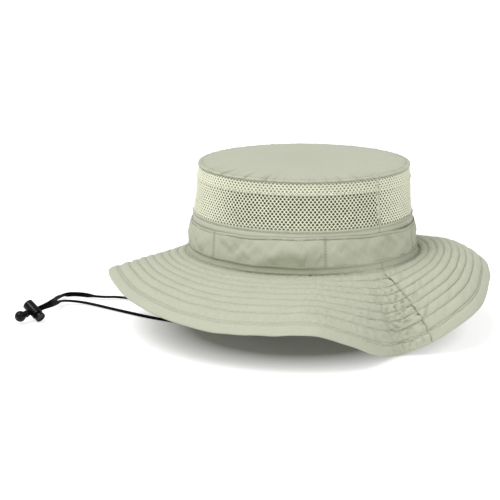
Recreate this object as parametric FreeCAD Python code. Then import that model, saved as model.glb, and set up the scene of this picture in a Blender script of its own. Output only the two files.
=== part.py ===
import FreeCAD, Part
import math
import os

# Boonie hat. Millimetres. +Z is up, the front of the hat is -Y, +X is the side seen first.
# The origin is on the surface the brim rests on, under the middle of the brim.

# Crown
CROWN_LENGTH = 202.0        # front to back at the brim seam
CROWN_WIDTH = 176.0         # side to side at the brim seam
CROWN_HEIGHT = 80.5         # brim seam to the edge of the tip
CROWN_TAPER = 9.2           # how far the wall leans in from seam to tip, on the long axis
TIP_DOME = 3.2              # rise of the middle of the tip over its edge
DOME_STEPS = 6
TIP_LIP = 2.4               # turned-down edge of the tip over the mesh
WALL_TOP = 38.0             # brim seam to the mesh
BAND_FOOT = 7.2             # brim seam to the lower edge of the hatband
BAND_HEIGHT = 23.0
TACK_TURNS = (10.5, 72.0, 133.0, 193.0, 249.0, 305.5)  # azimuths of the tacks on the hatband
TACK_INSET = 1.0            # from either edge of the hatband to a tack
SWEATBAND_HEIGHT = 32.0

# Cloth
CLOTH = 0.8
MESH_CLOTH = 0.9
INTERLINING = 1.0
BAND_CLOTH = 1.6            # the hatband is a folded strip
SWEAT_CLOTH = 1.5
TAPE_CLOTH = 0.7
SEAM_TAPE = 5.0             # height of the tapes over the tip seam and the mesh seam
FOOT_TAPE = 10.0            # height of the tape over the brim seam
EASE = 0.3                  # air between neighbouring layers

# Brim
SEAM_HEIGHT = 66.0          # brim seam over the surface
CROWN_BACK = 4.0            # the crown sits this far behind the middle of the brim
PANEL_SEAM = 45.0           # azimuth of the two radial seams, either side of the back
MESH_SEAM = 44.0            # azimuth of the upright seams of the mesh and the wall
BRIM_SCALE = 1.0            # reach of the brim past its seam
# Azimuth from +X towards the back, then reach from the middle, height of the edge, bow of
# the cloth over its chord. The brim stands on its three low folds.
BRIM_EDGE = [
    (-90.0, 170.0, 47.0, 2.0),
    (-75.0, 170.0, 49.0, 4.0),
    (-62.0, 168.0, 43.0, 5.0),
    (-45.0, 162.0, 36.0, 6.0),
    (-28.0, 157.5, 32.5, 7.0),
    (-12.0, 156.0, 34.0, 7.0),
    (2.0, 155.5, 34.5, 7.0),
    (12.0, 150.5, 24.5, 8.0),
    (22.0, 141.0, 11.0, 10.0),
    (30.0, 131.0, 2.0, 11.0),
    (36.0, 126.0, 0.15, 11.0),
    (41.0, 130.0, 1.5, 11.0),
    (47.0, 144.0, 11.0, 10.0),
    (54.0, 156.0, 22.5, 9.0),
    (64.0, 164.0, 33.5, 10.0),
    (76.0, 163.0, 43.0, 11.0),
    (90.0, 163.0, 48.5, 10.0),
    (104.0, 163.5, 46.5, 10.0),
    (116.0, 163.0, 37.0, 9.0),
    (126.0, 156.0, 26.0, 9.0),
    (133.0, 144.5, 13.0, 10.0),
    (139.0, 130.5, 2.5, 11.0),
    (144.0, 126.0, 0.15, 11.0),
    (150.0, 130.5, 2.5, 11.0),
    (158.0, 140.5, 13.0, 10.0),
    (168.0, 150.5, 27.0, 8.0),
    (178.0, 155.5, 36.5, 7.0),
    (192.0, 155.5, 36.0, 6.0),
    (205.0, 151.0, 28.0, 6.0),
    (216.0, 142.0, 14.0, 6.0),
    (226.0, 133.0, 2.6, 5.0),
    (233.0, 131.0, 0.15, 4.0),
    (240.0, 136.0, 4.8, 3.0),
    (248.0, 149.0, 20.0, 2.0),
    (256.0, 159.0, 32.0, 1.0),
    (263.0, 166.0, 41.5, 1.0),
]
AZIMUTH_STEP = 3.0
MERIDIAN_STEPS = 6

# Chin cord: points the middle of each cord runs through, from the tab to the lock
CORD = 2.4
CORD_REST = 1.3             # middle of a cord that lies on the surface
NEAR_ROUTE = [
    (85.3, 0.0, 57.7),
    (82.5, -5.0, 34.0),
    (70.0, -16.0, 9.0),
    (48.0, -42.0, CORD_REST),
    (22.0, -84.0, CORD_REST),
    (-3.0, -127.0, CORD_REST),
    (-33.0, -168.0, CORD_REST),
    (-57.0, -200.0, CORD_REST),
    (-56.0, -220.5, CORD_REST),
]
FAR_ROUTE = [
    (-85.3, 0.0, 57.7),
    (-82.5, -5.0, 34.0),
    (-70.0, -18.0, 9.0),
    (-50.0, -48.0, CORD_REST),
    (-40.0, -90.0, CORD_REST),
    (-52.0, -132.0, CORD_REST),
    (-74.0, -164.0, CORD_REST),
    (-70.0, -186.0, CORD_REST),
    (-85.0, -212.0, CORD_REST),
    (-82.0, -228.0, 2.0),
    (-52.0, -230.0, 7.0),
]
TURN_SHARE = 0.45           # share of the shorter run that a turn takes up
CORD_GAP = 0.5              # air between the two cords in the lock
CORD_FIT = 0.4              # air round the cords in the slot

# Cord lock, along its barrel; the cords cross the barrel at zero
LOCK_AT = FreeCAD.Vector(-3.3, -238.6, 9.4)
LOCK_CORDS = FreeCAD.Vector(0.65, -0.73, -0.15)
LOCK_BARREL = FreeCAD.Vector(0.612, 0.640, -0.465)
BARREL = 10.0
BARREL_FOOT = -9.5
BARREL_MOUTH = 5.5
BARREL_FLOOR = 1.0
BARREL_ROUND = 1.0          # rounding of the barrel's rims
BORE = 7.4
BORE_FIT = 0.4
PRESS = 2.0                 # how far the button goes in
BUTTON = 9.2
BUTTON_THICK = 2.4
BUTTON_ROUND = 0.8
STEM_FOOT = 1.2
SPRING_WIRE = 0.5
SPRING_TURNS = 3.0
SPRING_STEPS = 12           # corners per turn, each rounded off
HAIR = 0.05                 # air between parts that all but touch
CORD_END = 8.0              # from the middle of the lock to the end of the cords
CORD_STRAIGHT = 22.0        # from the middle of the lock back to the last corner
SLEEVE = 6.4
SLEEVE_LENGTH = 3.4
BALL = 9.8

# Small sewn pieces
TAB_WIDTH = 12.0
TAB_THICK = 1.6
TAB_DROP = 9.6
LABEL_WIDTH = 30.0
LABEL_HEIGHT = 18.0
LABEL_THICK = 0.4
TACK_WIDTH = 1.4
TACK_THICK = 0.5

SQUEEZE = CROWN_WIDTH / CROWN_LENGTH
SEAM_LONG = CROWN_LENGTH / 2.0
UP = FreeCAD.Vector(0.0, 0.0, 1.0)


def save(shape, node):
    if not shape.isValid():
        print("not valid:", node)
    shape.translate(FreeCAD.Vector(0.0, CROWN_BACK, 0.0))
    shape.exportStep("parts/" + node + ".step")
    print("%-22s %10.1f mm3" % (node, shape.Volume))


def wall_radius(level):
    """Outside of the crown wall on the long axis, at a height over the brim seam."""
    return SEAM_LONG - CROWN_TAPER * level / CROWN_HEIGHT


def turned(points, start, sweep):
    """Ring from a closed outline of (radius, level), turned about Z and made oval."""
    corners = [FreeCAD.Vector(r, 0.0, SEAM_HEIGHT + level) for r, level in points]
    outline = Part.makePolygon(corners + [corners[0]])
    ring = Part.Face(outline).revolve(FreeCAD.Vector(0, 0, 0), UP, sweep)
    ring.rotate(FreeCAD.Vector(0, 0, 0), UP, start)
    squeeze = FreeCAD.Matrix()
    squeeze.scale(SQUEEZE, 1.0, 1.0)
    return ring.transformGeometry(squeeze)


def layer(low, high, outside, thick):
    """Outline of a layer that follows the crown wall, from one level to another."""
    return [
        (wall_radius(low) + outside - thick, low),
        (wall_radius(low) + outside, low),
        (wall_radius(high) + outside, high),
        (wall_radius(high) + outside - thick, high),
    ]


def oval_turn(azimuth):
    """Turn on the round ring that lands on an azimuth once the ring is oval."""
    a = math.radians(azimuth)
    return math.degrees(math.atan2(math.sin(a), math.cos(a) / SQUEEZE))


def wall_frame(azimuth, level, outside):
    """Place on the crown wall: Z up the hat, X straight out through the wall."""
    a = math.radians(oval_turn(azimuth))
    long_side = wall_radius(level)
    out = FreeCAD.Vector(math.cos(a) / SQUEEZE, math.sin(a), 0.0).normalize()
    at = FreeCAD.Vector(SQUEEZE * long_side * math.cos(a), long_side * math.sin(a), 0.0)
    at = at + out * outside + UP * (SEAM_HEIGHT + level)
    lean = math.atan2(CROWN_TAPER, CROWN_HEIGHT)
    side = UP.cross(out)
    up = UP * math.cos(lean) - out * math.sin(lean)
    turn = FreeCAD.Rotation(side.cross(up), side, up, "ZXY")
    return FreeCAD.Placement(at, turn)


def brim_edge(azimuth):
    """Reach, height and bow of the brim at an azimuth, eased through the edge table."""
    count = len(BRIM_EDGE)
    first = BRIM_EDGE[0][0]
    angle = first + (azimuth - first) % 360.0
    at = max(i for i in range(count) if BRIM_EDGE[i][0] <= angle)
    rows = []
    for i in range(at - 1, at + 3):
        turns, index = divmod(i, count)
        row = BRIM_EDGE[index]
        rows.append((row[0] + 360.0 * turns,) + row[1:])
    span = rows[2][0] - rows[1][0]
    t = (angle - rows[1][0]) / span
    out = []
    for k in (1, 2, 3):
        enter = (rows[2][k] - rows[0][k]) / (rows[2][0] - rows[0][0]) * span
        leave = (rows[3][k] - rows[1][k]) / (rows[3][0] - rows[1][0]) * span
        value = (2 * t ** 3 - 3 * t ** 2 + 1) * rows[1][k] + (t ** 3 - 2 * t ** 2 + t) * enter
        value += (3 * t ** 2 - 2 * t ** 3) * rows[2][k] + (t ** 3 - t ** 2) * leave
        out.append(value)
    return out


def brim_point(azimuth, along, lift):
    """Point of the brim: 0 to 1 from seam to edge, lifted off its middle surface."""
    a = math.radians(azimuth)
    seam = 1.0 / math.hypot(math.cos(a) / (SQUEEZE * SEAM_LONG), math.sin(a) / SEAM_LONG)
    reach, height, bow = brim_edge(azimuth)
    run = (reach - SEAM_LONG) * BRIM_SCALE + SEAM_LONG - seam
    drop = height - SEAM_HEIGHT
    chord = math.hypot(run, drop)
    rise = 4.0 * bow * along * (1.0 - along)
    r = seam + run * along - drop / chord * rise
    z = SEAM_HEIGHT + drop * along + run / chord * rise
    slope = 4.0 * bow * (1.0 - 2.0 * along)
    dr = run - drop / chord * slope
    dz = drop + run / chord * slope
    size = math.hypot(dr, dz)
    r -= dz / size * lift
    z += dr / size * lift
    return FreeCAD.Vector(r * math.cos(a), r * math.sin(a), z)


def brim_sheet(start, end, first, last, lift):
    """Smooth face of the brim between two azimuths."""
    count = int(round((end - start) / AZIMUTH_STEP)) + 1
    rows = []
    for i in range(count):
        azimuth = start + (end - start) * i / (count - 1)
        row = []
        for j in range(MERIDIAN_STEPS + 1):
            along = first + (last - first) * j / MERIDIAN_STEPS
            row.append(brim_point(azimuth, along, lift))
        rows.append(row)
    face = Part.BSplineSurface()
    face.interpolate(rows)
    return face


def brim_layer(start, end, low, high):
    """One layer of the brim as a closed solid."""
    under = brim_sheet(start, end, 0.0, 1.0, low)
    over = brim_sheet(start, end, 0.0, 1.0, high)
    faces = [under.toShape(), over.toShape()]
    u0, u1, v0, v1 = under.bounds()
    a0, a1, b0, b1 = over.bounds()
    edges = [
        (under.uIso(u0), over.uIso(a0)),
        (under.uIso(u1), over.uIso(a1)),
        (under.vIso(v0), over.vIso(b0)),
        (under.vIso(v1), over.vIso(b1)),
    ]
    for one, other in edges:
        faces.append(Part.makeRuledSurface(one.toShape(), other.toShape()))
    shell = Part.makeShell(faces)
    shell.sewShape()
    solid = Part.makeSolid(shell)
    if solid.Volume < 0.0:
        solid.reverse()
    return solid


def cord_solid(node, points, dia):
    """Round cord: straight runs joined by tangent arcs."""
    edges = []
    at = points[0]
    radii = []
    for i in range(1, len(points) - 1):
        back = points[i - 1] - points[i]
        ahead = points[i + 1] - points[i]
        turn = math.pi - back.getAngle(ahead)
        tangent = TURN_SHARE * min(back.Length, ahead.Length)
        radius = tangent / math.tan(turn / 2.0)
        start = points[i] + back.normalize() * tangent
        end = points[i] + ahead.normalize() * tangent
        bisector = (back + ahead).normalize()
        centre = points[i] + bisector * math.hypot(radius, tangent)
        middle = centre - bisector * radius
        edges.append(Part.makeLine(at, start))
        edges.append(Part.Arc(start, middle, end).toShape())
        radii.append(radius)
        at = end
    edges.append(Part.makeLine(at, points[-1]))
    path = Part.Wire(edges)
    section = Part.Wire(Part.makeCircle(dia / 2.0, points[0], points[1] - points[0]))
    tube = path.makePipeShell([section], True, False)
    length = path.Length
    print(node, "radii", [round(r, 1) for r in radii], "length %.1f" % length)
    print(node, "volume share %.4f" % (tube.Volume / (math.pi * dia * dia / 4.0 * length)))
    return tube


os.makedirs("parts", exist_ok=True)

# Crown, from the brim seam up
seam_turn = oval_turn(MESH_SEAM)
back_sweep = 2.0 * (90.0 - seam_turn)
front_sweep = 360.0 - back_sweep
panels = (("front", 180.0 - seam_turn, front_sweep), ("back", seam_turn, back_sweep))
wall_foot = CLOTH + INTERLINING
mesh_top = CROWN_HEIGHT - CLOTH - EASE
wall = layer(wall_foot, WALL_TOP, 0.0, CLOTH)
mesh = layer(WALL_TOP, mesh_top, 0.0, MESH_CLOTH)
for side, start, sweep in panels:
    save(turned(wall, start, sweep), "crown_wall_" + side)
    save(turned(mesh, start, sweep), "mesh_panel_" + side)

# Tip: a shallow dome with its edge turned down outside the mesh
lip_low = CROWN_HEIGHT - TIP_LIP
lip_out = EASE / 2.0 + CLOTH
edge_radius = wall_radius(CROWN_HEIGHT)
tip = [
    (wall_radius(lip_low) + EASE / 2.0, lip_low),
    (wall_radius(lip_low) + lip_out, lip_low),
    (edge_radius + lip_out, CROWN_HEIGHT - CLOTH),
    (edge_radius, CROWN_HEIGHT),
]
for i in range(1, DOME_STEPS + 1):
    share = 1.0 - i / DOME_STEPS
    tip.append((edge_radius * share, CROWN_HEIGHT + TIP_DOME * (1.0 - share * share)))
for i in range(DOME_STEPS, 0, -1):
    share = 1.0 - i / DOME_STEPS
    tip.append((edge_radius * share, CROWN_HEIGHT - CLOTH + TIP_DOME * (1.0 - share * share)))
tip.append((edge_radius + EASE / 2.0, CROWN_HEIGHT - CLOTH))
save(turned(tip, 0.0, 360.0), "crown_tip")
inside = -MESH_CLOTH - EASE
tip_tape = layer(mesh_top - SEAM_TAPE, mesh_top, inside, TAPE_CLOTH)
save(turned(tip_tape, 0.0, 360.0), "tip_seam_tape")
mesh_tape = layer(WALL_TOP - SEAM_TAPE / 2.0, WALL_TOP + SEAM_TAPE, inside, TAPE_CLOTH)
save(turned(mesh_tape, 0.0, 360.0), "mesh_seam_tape")

# Hatband with its bar tacks, each tack standing on the band
band_out = EASE + BAND_CLOTH
band = layer(BAND_FOOT, BAND_FOOT + BAND_HEIGHT, band_out, BAND_CLOTH)
save(turned(band, 0.0, 360.0), "hatband")
tack_height = BAND_HEIGHT - 2.0 * TACK_INSET
for i, azimuth in enumerate(TACK_TURNS):
    seat = wall_frame(azimuth, BAND_FOOT + BAND_HEIGHT / 2.0, band_out + HAIR)
    tack = Part.makeBox(TACK_THICK, TACK_WIDTH, tack_height)
    tack.translate(FreeCAD.Vector(0.0, -TACK_WIDTH / 2.0, -tack_height / 2.0))
    tack.Placement = seat.multiply(tack.Placement)
    save(tack, "band_tack_%d" % (i + 1))

# Sweatband, the tape on the brim seam, the label and the cord tabs, inside the crown
foot_tape = layer(0.0, FOOT_TAPE, -CLOTH - EASE / 2.0, TAPE_CLOTH)
save(turned(foot_tape, 0.0, 360.0), "brim_seam_tape")
sweat_out = -CLOTH - TAPE_CLOTH - EASE
sweat = layer(wall_foot, wall_foot + SWEATBAND_HEIGHT, sweat_out - EASE, SWEAT_CLOTH)
save(turned(sweat, 0.0, 360.0), "sweatband")
label_out = sweat_out - 2.0 * EASE - SWEAT_CLOTH
label = Part.makeBox(LABEL_THICK, LABEL_WIDTH, LABEL_HEIGHT)
label.translate(FreeCAD.Vector(-LABEL_THICK, -LABEL_WIDTH / 2.0, -LABEL_HEIGHT / 2.0))
label_sag = LABEL_WIDTH ** 2 / 8.0 / (SQUEEZE ** 2 * wall_radius(SWEATBAND_HEIGHT))
label_seat = wall_frame(90.0, wall_foot + SWEATBAND_HEIGHT / 2.0, label_out - label_sag)
label.Placement = label_seat.multiply(label.Placement)
save(label, "label")
tab_foot = NEAR_ROUTE[0][2] + EASE
for side, sign in (("near", 1.0), ("far", -1.0)):
    middle = sign * NEAR_ROUTE[0][0]
    tab = Part.makeBox(TAB_THICK, TAB_WIDTH, TAB_DROP)
    tab.translate(FreeCAD.Vector(middle - TAB_THICK / 2.0, -TAB_WIDTH / 2.0, tab_foot))
    save(tab, "cord_tab_" + side)

# Brim: outer cloth, interlining and under cloth, each in a front and a back piece
half = INTERLINING / 2.0
layers = (
    ("brim_top", half, half + CLOTH),
    ("brim_interlining", -half, half),
    ("brim_under", -half - CLOTH, -half),
)
arcs = (("front", 180.0 - PANEL_SEAM, 360.0 + PANEL_SEAM), ("back", PANEL_SEAM, 180.0 - PANEL_SEAM))
for name, low, high in layers:
    for side, start, end in arcs:
        save(brim_layer(start, end, low, high), name + "_" + side)

# Cord lock frame: cords along d, barrel along b
d = FreeCAD.Vector(LOCK_CORDS).normalize()
b = FreeCAD.Vector(LOCK_BARREL)
b = (b - d * b.dot(d)).normalize()
lock_turn = FreeCAD.Rotation(d, b.cross(d), b, "ZXY")
lock_place = FreeCAD.Placement(LOCK_AT, lock_turn)

# Chin cords
pitch = (CORD + CORD_GAP) / 2.0
for node, route, side in (("chin_cord_near", NEAR_ROUTE, 1.0), ("chin_cord_far", FAR_ROUTE, -1.0)):
    points = [FreeCAD.Vector(*p) for p in route]
    beside = LOCK_AT + b * (pitch * side)
    points.append(beside - d * CORD_STRAIGHT)
    points.append(beside + d * CORD_END)
    save(cord_solid(node, points, CORD), node)

# End sleeve and ball, beyond the end of the cords
sleeve = Part.makeCylinder(SLEEVE / 2.0, SLEEVE_LENGTH, LOCK_AT + d * CORD_END, d)
ball_at = CORD_END + SLEEVE_LENGTH + math.sqrt(BALL ** 2 - SLEEVE ** 2) / 2.0
ball = Part.makeSphere(BALL / 2.0, LOCK_AT + d * ball_at)
save(sleeve.cut(ball), "cord_sleeve")
save(ball, "cord_ball")

# Lock: barrel, sprung button and spring, drawn along Z and then put in place
slot_long = 2.0 * CORD + CORD_GAP + 2.0 * CORD_FIT
slot_wide = CORD + 2.0 * CORD_FIT
barrel_length = BARREL_MOUTH - BARREL_FOOT
barrel = Part.makeCylinder(BARREL / 2.0, barrel_length, FreeCAD.Vector(0, 0, BARREL_FOOT))
rims = [e for e in barrel.Edges if e.Curve.TypeId == "Part::GeomCircle"]
barrel = barrel.makeFillet(BARREL_ROUND, rims)
bore_foot = BARREL_FOOT + BARREL_FLOOR
bore = Part.makeCylinder(BORE / 2.0, BARREL_MOUTH - bore_foot, FreeCAD.Vector(0, 0, bore_foot))
slot = Part.makeBox(BARREL * 2.0, slot_wide, slot_long)
slot.translate(FreeCAD.Vector(-BARREL, -slot_wide / 2.0, -slot_long / 2.0))
barrel = barrel.cut(bore).cut(slot)
stem_dia = BORE - BORE_FIT
stem_slot_low = -slot_long / 2.0
stem_low = stem_slot_low - STEM_FOOT
button_low = BARREL_MOUTH + PRESS + EASE
stem = Part.makeCylinder(stem_dia / 2.0, button_low - stem_low, FreeCAD.Vector(0, 0, stem_low))
button = Part.makeCylinder(BUTTON / 2.0, BUTTON_THICK, FreeCAD.Vector(0, 0, button_low))
top_rim = [e for e in button.Edges if e.Curve.TypeId == "Part::GeomCircle"]
button = button.makeFillet(BUTTON_ROUND, top_rim).fuse(stem)
stem_slot = Part.makeBox(BARREL * 2.0, slot_wide, slot_long + PRESS)
stem_slot.translate(FreeCAD.Vector(-BARREL, -slot_wide / 2.0, stem_slot_low))
button = button.cut(stem_slot)
spring_low = bore_foot + SPRING_WIRE / 2.0 + HAIR
spring_high = stem_low - SPRING_WIRE / 2.0 - HAIR
spring_radius = BORE / 2.0 - SPRING_WIRE - EASE
coils = []
coil_steps = int(SPRING_TURNS * SPRING_STEPS)
for i in range(coil_steps + 1):
    angle = 2.0 * math.pi * i / SPRING_STEPS
    across = FreeCAD.Vector(math.cos(angle), math.sin(angle), 0.0) * spring_radius
    coils.append(across + UP * (spring_low + (spring_high - spring_low) * i / coil_steps))
spring = cord_solid("lock_spring", coils, SPRING_WIRE)
for node, shape in (("lock_barrel", barrel), ("lock_button", button), ("lock_spring", spring)):
    shape.Placement = lock_place.multiply(shape.Placement)
    save(shape, node)
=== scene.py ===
import math

import bmesh
import bpy
from mathutils import Matrix, Vector, noise


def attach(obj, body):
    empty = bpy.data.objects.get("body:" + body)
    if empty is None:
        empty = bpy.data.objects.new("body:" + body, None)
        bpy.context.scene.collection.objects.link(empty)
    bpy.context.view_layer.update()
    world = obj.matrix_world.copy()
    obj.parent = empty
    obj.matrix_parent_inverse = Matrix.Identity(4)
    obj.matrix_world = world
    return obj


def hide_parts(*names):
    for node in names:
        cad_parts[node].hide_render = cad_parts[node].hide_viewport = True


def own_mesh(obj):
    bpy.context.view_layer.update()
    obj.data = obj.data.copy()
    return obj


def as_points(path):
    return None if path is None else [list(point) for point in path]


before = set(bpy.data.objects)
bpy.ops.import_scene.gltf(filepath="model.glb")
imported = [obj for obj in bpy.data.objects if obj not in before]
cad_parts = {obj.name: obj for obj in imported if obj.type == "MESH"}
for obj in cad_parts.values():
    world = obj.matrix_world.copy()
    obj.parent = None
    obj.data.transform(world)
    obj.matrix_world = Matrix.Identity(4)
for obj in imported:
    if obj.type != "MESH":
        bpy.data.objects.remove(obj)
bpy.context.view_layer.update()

# Boonie hat. Lengths below are in millimetres and are turned to metres as each piece is made.
MM = 0.001

# ---------------------------------------------------------------- camera, light and floor
VIEW_RISE = math.radians(14.4)
VIEW_FAR = 1.58
look_at = Vector((0.0, -0.0426, 0.066))
camera_data = bpy.data.cameras.new("camera")
camera_data.sensor_width = 36.0
camera_data.lens = 129.3
camera = bpy.data.objects.new("camera", camera_data)
camera.location = look_at + VIEW_FAR * Vector((math.cos(VIEW_RISE), 0.0, math.sin(VIEW_RISE)))
camera.rotation_euler = (look_at - camera.location).to_track_quat("-Z", "Y").to_euler()
bpy.context.scene.collection.objects.link(camera)
bpy.context.scene.camera = camera
bpy.context.scene.view_settings.view_transform = "Standard"

world = bpy.data.worlds.new("studio")
world.use_nodes = True
world.node_tree.nodes["Background"].inputs["Color"].default_value = (1.0, 1.0, 1.0, 1.0)
world.node_tree.nodes["Background"].inputs["Strength"].default_value = 0.58
bpy.context.scene.world = world

for lamp, strength, spread, aim in (
    ("key", 1.80, 34.0, (-0.34, 0.52, -1.35)),
    ("fill", 0.30, 60.0, (-0.8, -0.75, -0.95)),
):
    sun = bpy.data.lights.new(lamp, "SUN")
    sun.energy = strength
    sun.angle = math.radians(spread)
    lamp_object = bpy.data.objects.new(lamp, sun)
    lamp_object.rotation_euler = Vector(aim).to_track_quat("-Z", "Y").to_euler()
    bpy.context.scene.collection.objects.link(lamp_object)


# ---------------------------------------------------------------- finishes
PAINTED_SHADE_COLOUR = (0.165, 0.195, 0.075)     # painted shade: darker olive put where cloth lies in folds, hollows and shadowed corners


def finish_tree(name, rough):
    """New finish with its shader, ready for a pattern."""
    finish = bpy.data.materials.new(name)
    finish.use_nodes = True
    tree = finish.node_tree
    shader = tree.nodes["Principled BSDF"]
    shader.inputs["Roughness"].default_value = rough
    return finish, tree, shader


def feed(tree, sockets, values):
    """Links the values that are sockets and sets the others."""
    for socket, value in zip(sockets, values):
        if isinstance(value, bpy.types.NodeSocket):
            tree.links.new(value, socket)
        else:
            socket.default_value = value


def node(tree, kind, settings=None, **inputs):
    """Adds a node, sets its options and feeds its inputs."""
    made = tree.nodes.new(kind)
    for key, value in (settings or {}).items():
        setattr(made, key, value)
    feed(tree, [made.inputs[key.replace("_", " ")] for key in inputs], inputs.values())
    return made


def blend_colour(tree, share, first, second):
    mix = node(tree, "ShaderNodeMix", {"data_type": "RGBA"})
    feed(tree, (mix.inputs[0], mix.inputs[6], mix.inputs[7]), (share, first, second))
    return mix.outputs[2]


def calc(tree, operation, first, second=0.0, third=0.0):
    made = node(tree, "ShaderNodeMath", {"operation": operation})
    feed(tree, made.inputs, (first, second, third))
    return made.outputs[0]


def shade_of(colour, share=1.0):
    return [min(1.0, c * share) for c in colour] + [1.0]


def noise_of(tree, place, scale, detail, roughness=0.5):
    return node(tree, "ShaderNodeTexNoise", Vector=place, Scale=scale, Detail=detail, Roughness=roughness).outputs[0]


def bump_of(tree, shader, height, strength, distance):
    bump = node(tree, "ShaderNodeBump", Strength=strength, Distance=distance, Height=height)
    tree.links.new(bump.outputs[0], shader.inputs["Normal"])


def woven(name, colour, threads=1700.0, depth=0.35, rough=0.82, painted_shade=PAINTED_SHADE_COLOUR):
    """Plain weave: threads crossing, slubs, faint blotches, and painted shade in creases and hollows."""
    finish, tree, shader = finish_tree(name, rough)
    place = node(tree, "ShaderNodeUVMap", {"uv_map": "weave"}).outputs[0]
    split = node(tree, "ShaderNodeSeparateXYZ", Vector=place)
    across = calc(tree, "SINE", calc(tree, "MULTIPLY", split.outputs[0], threads * math.pi))
    along = calc(tree, "SINE", calc(tree, "MULTIPLY", split.outputs[1], threads * math.pi))
    checks = calc(tree, "MULTIPLY", across, along)
    slubs = noise_of(tree, place, threads * 0.55, 3.0, 0.65)
    height = calc(tree, "MULTIPLY_ADD", slubs, 0.9, calc(tree, "MULTIPLY", checks, 0.35))
    bump_of(tree, shader, height, depth, 0.0004)
    base = blend_colour(tree, noise_of(tree, place, 46.0, 5.0, 0.6), shade_of(colour, 0.93), shade_of(colour, 1.06))
    fleck = node(tree, "ShaderNodeMapRange", Value=slubs, From_Min=0.3, From_Max=0.7, To_Min=0.0, To_Max=0.5).outputs[0]
    base = blend_colour(tree, fleck, base, shade_of(colour, 0.86))
    # Painted shade: each point's painted_shade value mixes the cloth towards its shade colour.
    painted_shade_mask = node(tree, "ShaderNodeAttribute", {"attribute_name": "painted_shade"}).outputs["Fac"]
    base = blend_colour(tree, painted_shade_mask, base, shade_of(painted_shade))
    tree.links.new(base, shader.inputs["Base Color"])
    shader.inputs["Sheen Weight"].default_value = 0.12
    shader.inputs["Sheen Roughness"].default_value = 0.5
    return finish


def plastic(name, colour, rough):
    """Moulded plastic with a faint orange-peel skin."""
    finish, tree, shader = finish_tree(name, rough)
    place = node(tree, "ShaderNodeTexCoord").outputs["Object"]
    bump_of(tree, shader, noise_of(tree, place, 900.0, 2.0), 0.08, 0.0002)
    scuff = noise_of(tree, place, 260.0, 6.0)
    tone = blend_colour(tree, scuff, shade_of(colour, 0.7), shade_of(colour, 1.5))
    tree.links.new(tone, shader.inputs["Base Color"])
    wear = node(tree, "ShaderNodeMapRange", Value=scuff, To_Min=rough * 0.8, To_Max=rough * 1.3)
    tree.links.new(wear.outputs[0], shader.inputs["Roughness"])
    shader.inputs["Specular IOR Level"].default_value = 0.16
    return finish


def braided(name, colour, strand_turns=2600.0):
    """Flat braid: strands crossing at a slant along the cord."""
    finish, tree, shader = finish_tree(name, 0.55)
    place = node(tree, "ShaderNodeUVMap", {"uv_map": "weave"}).outputs[0]
    split = node(tree, "ShaderNodeSeparateXYZ", Vector=place)
    run = calc(tree, "MULTIPLY", split.outputs[0], strand_turns)
    turn = calc(tree, "MULTIPLY", split.outputs[1], strand_turns)
    left = calc(tree, "SINE", calc(tree, "ADD", run, turn))
    right = calc(tree, "SINE", calc(tree, "SUBTRACT", run, turn))
    strands = calc(tree, "MAXIMUM", left, right)
    bump_of(tree, shader, strands, 0.6, 0.0003)
    # Tone follows the strands: lighter on their crests and darker between them, as painted highlight and shade.
    share = calc(tree, "MULTIPLY_ADD", strands, 0.4, 0.5)
    tone = blend_colour(tree, share, shade_of(colour, 0.5), shade_of(colour, 1.6))
    tree.links.new(tone, shader.inputs["Base Color"])
    shader.inputs["Specular IOR Level"].default_value = 0.04
    return finish


main_cloth = woven("main_cloth", (0.497, 0.512, 0.400))
# The net's shade colour is near-black olive, painted shade for its holes and inner side.
mesh_cloth = woven("mesh_cloth", (0.90, 0.91, 0.705), 2600.0, 0.5, painted_shade=(0.075, 0.09, 0.012))
lining_cloth = woven("lining_cloth", (0.42, 0.43, 0.34), 1200.0)
tape_cloth = woven("tape_cloth", (0.46, 0.47, 0.37), 1500.0, 0.5)
sweat_cloth = woven("sweat_cloth", (0.29, 0.32, 0.16), 1300.0, 0.5, 0.9)
label_cloth = woven("label_cloth", (0.72, 0.72, 0.68), 2200.0, rough=0.5)
thread_finish = woven("thread", (0.56, 0.575, 0.46), 3000.0, 0.2, 0.6)
hem_thread = woven("hem_thread", (0.90, 0.90, 0.74), 3000.0, 0.2, 0.6)
cord_finish = braided("cord", (0.002, 0.002, 0.002))
lock_plastic = plastic("lock_plastic", (0.003, 0.003, 0.003), 0.26)
ball_plastic = plastic("ball_plastic", (0.003, 0.003, 0.003), 0.30)
spring_finish, spring_tree, spring_shader = finish_tree("spring_steel", 0.25)
spring_shader.inputs["Metallic"].default_value = 1.0
spring_skin = noise_of(spring_tree, node(spring_tree, "ShaderNodeTexCoord").outputs["Object"], 700.0, 3.0)
spring_tree.links.new(blend_colour(spring_tree, spring_skin, (0.45, 0.45, 0.46, 1.0), (0.7, 0.7, 0.7, 1.0)),
                      spring_shader.inputs["Base Color"])
floor_finish, floor_tree, floor_shader = finish_tree("floor", 0.9)
floor_shader.inputs["Base Color"].default_value = (0.50, 0.50, 0.50, 1.0)
floor_shader.inputs["Emission Color"].default_value = (1.0, 1.0, 1.0, 1.0)
# The floor glows: faintly under the hat, painted shade seen through the crown, and brightly beyond the brim, where it
# paints over the brim's cast shadow.
from_middle = node(floor_tree, "ShaderNodeVectorMath", {"operation": "LENGTH"},
                   Vector=node(floor_tree, "ShaderNodeTexCoord").outputs["Object"]).outputs["Value"]
glow = node(floor_tree, "ShaderNodeMapRange", Value=from_middle, From_Min=0.095, From_Max=0.150, To_Min=0.03,
            To_Max=0.70)
floor_tree.links.new(glow.outputs[0], floor_shader.inputs["Emission Strength"])

bpy.ops.object.select_all(action="DESELECT")
bpy.ops.mesh.primitive_plane_add(size=30.0, location=(0.0, 0.0, 0.0))
floor = bpy.context.object
floor.name = "floor"
floor.data.materials.append(floor_finish)

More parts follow.
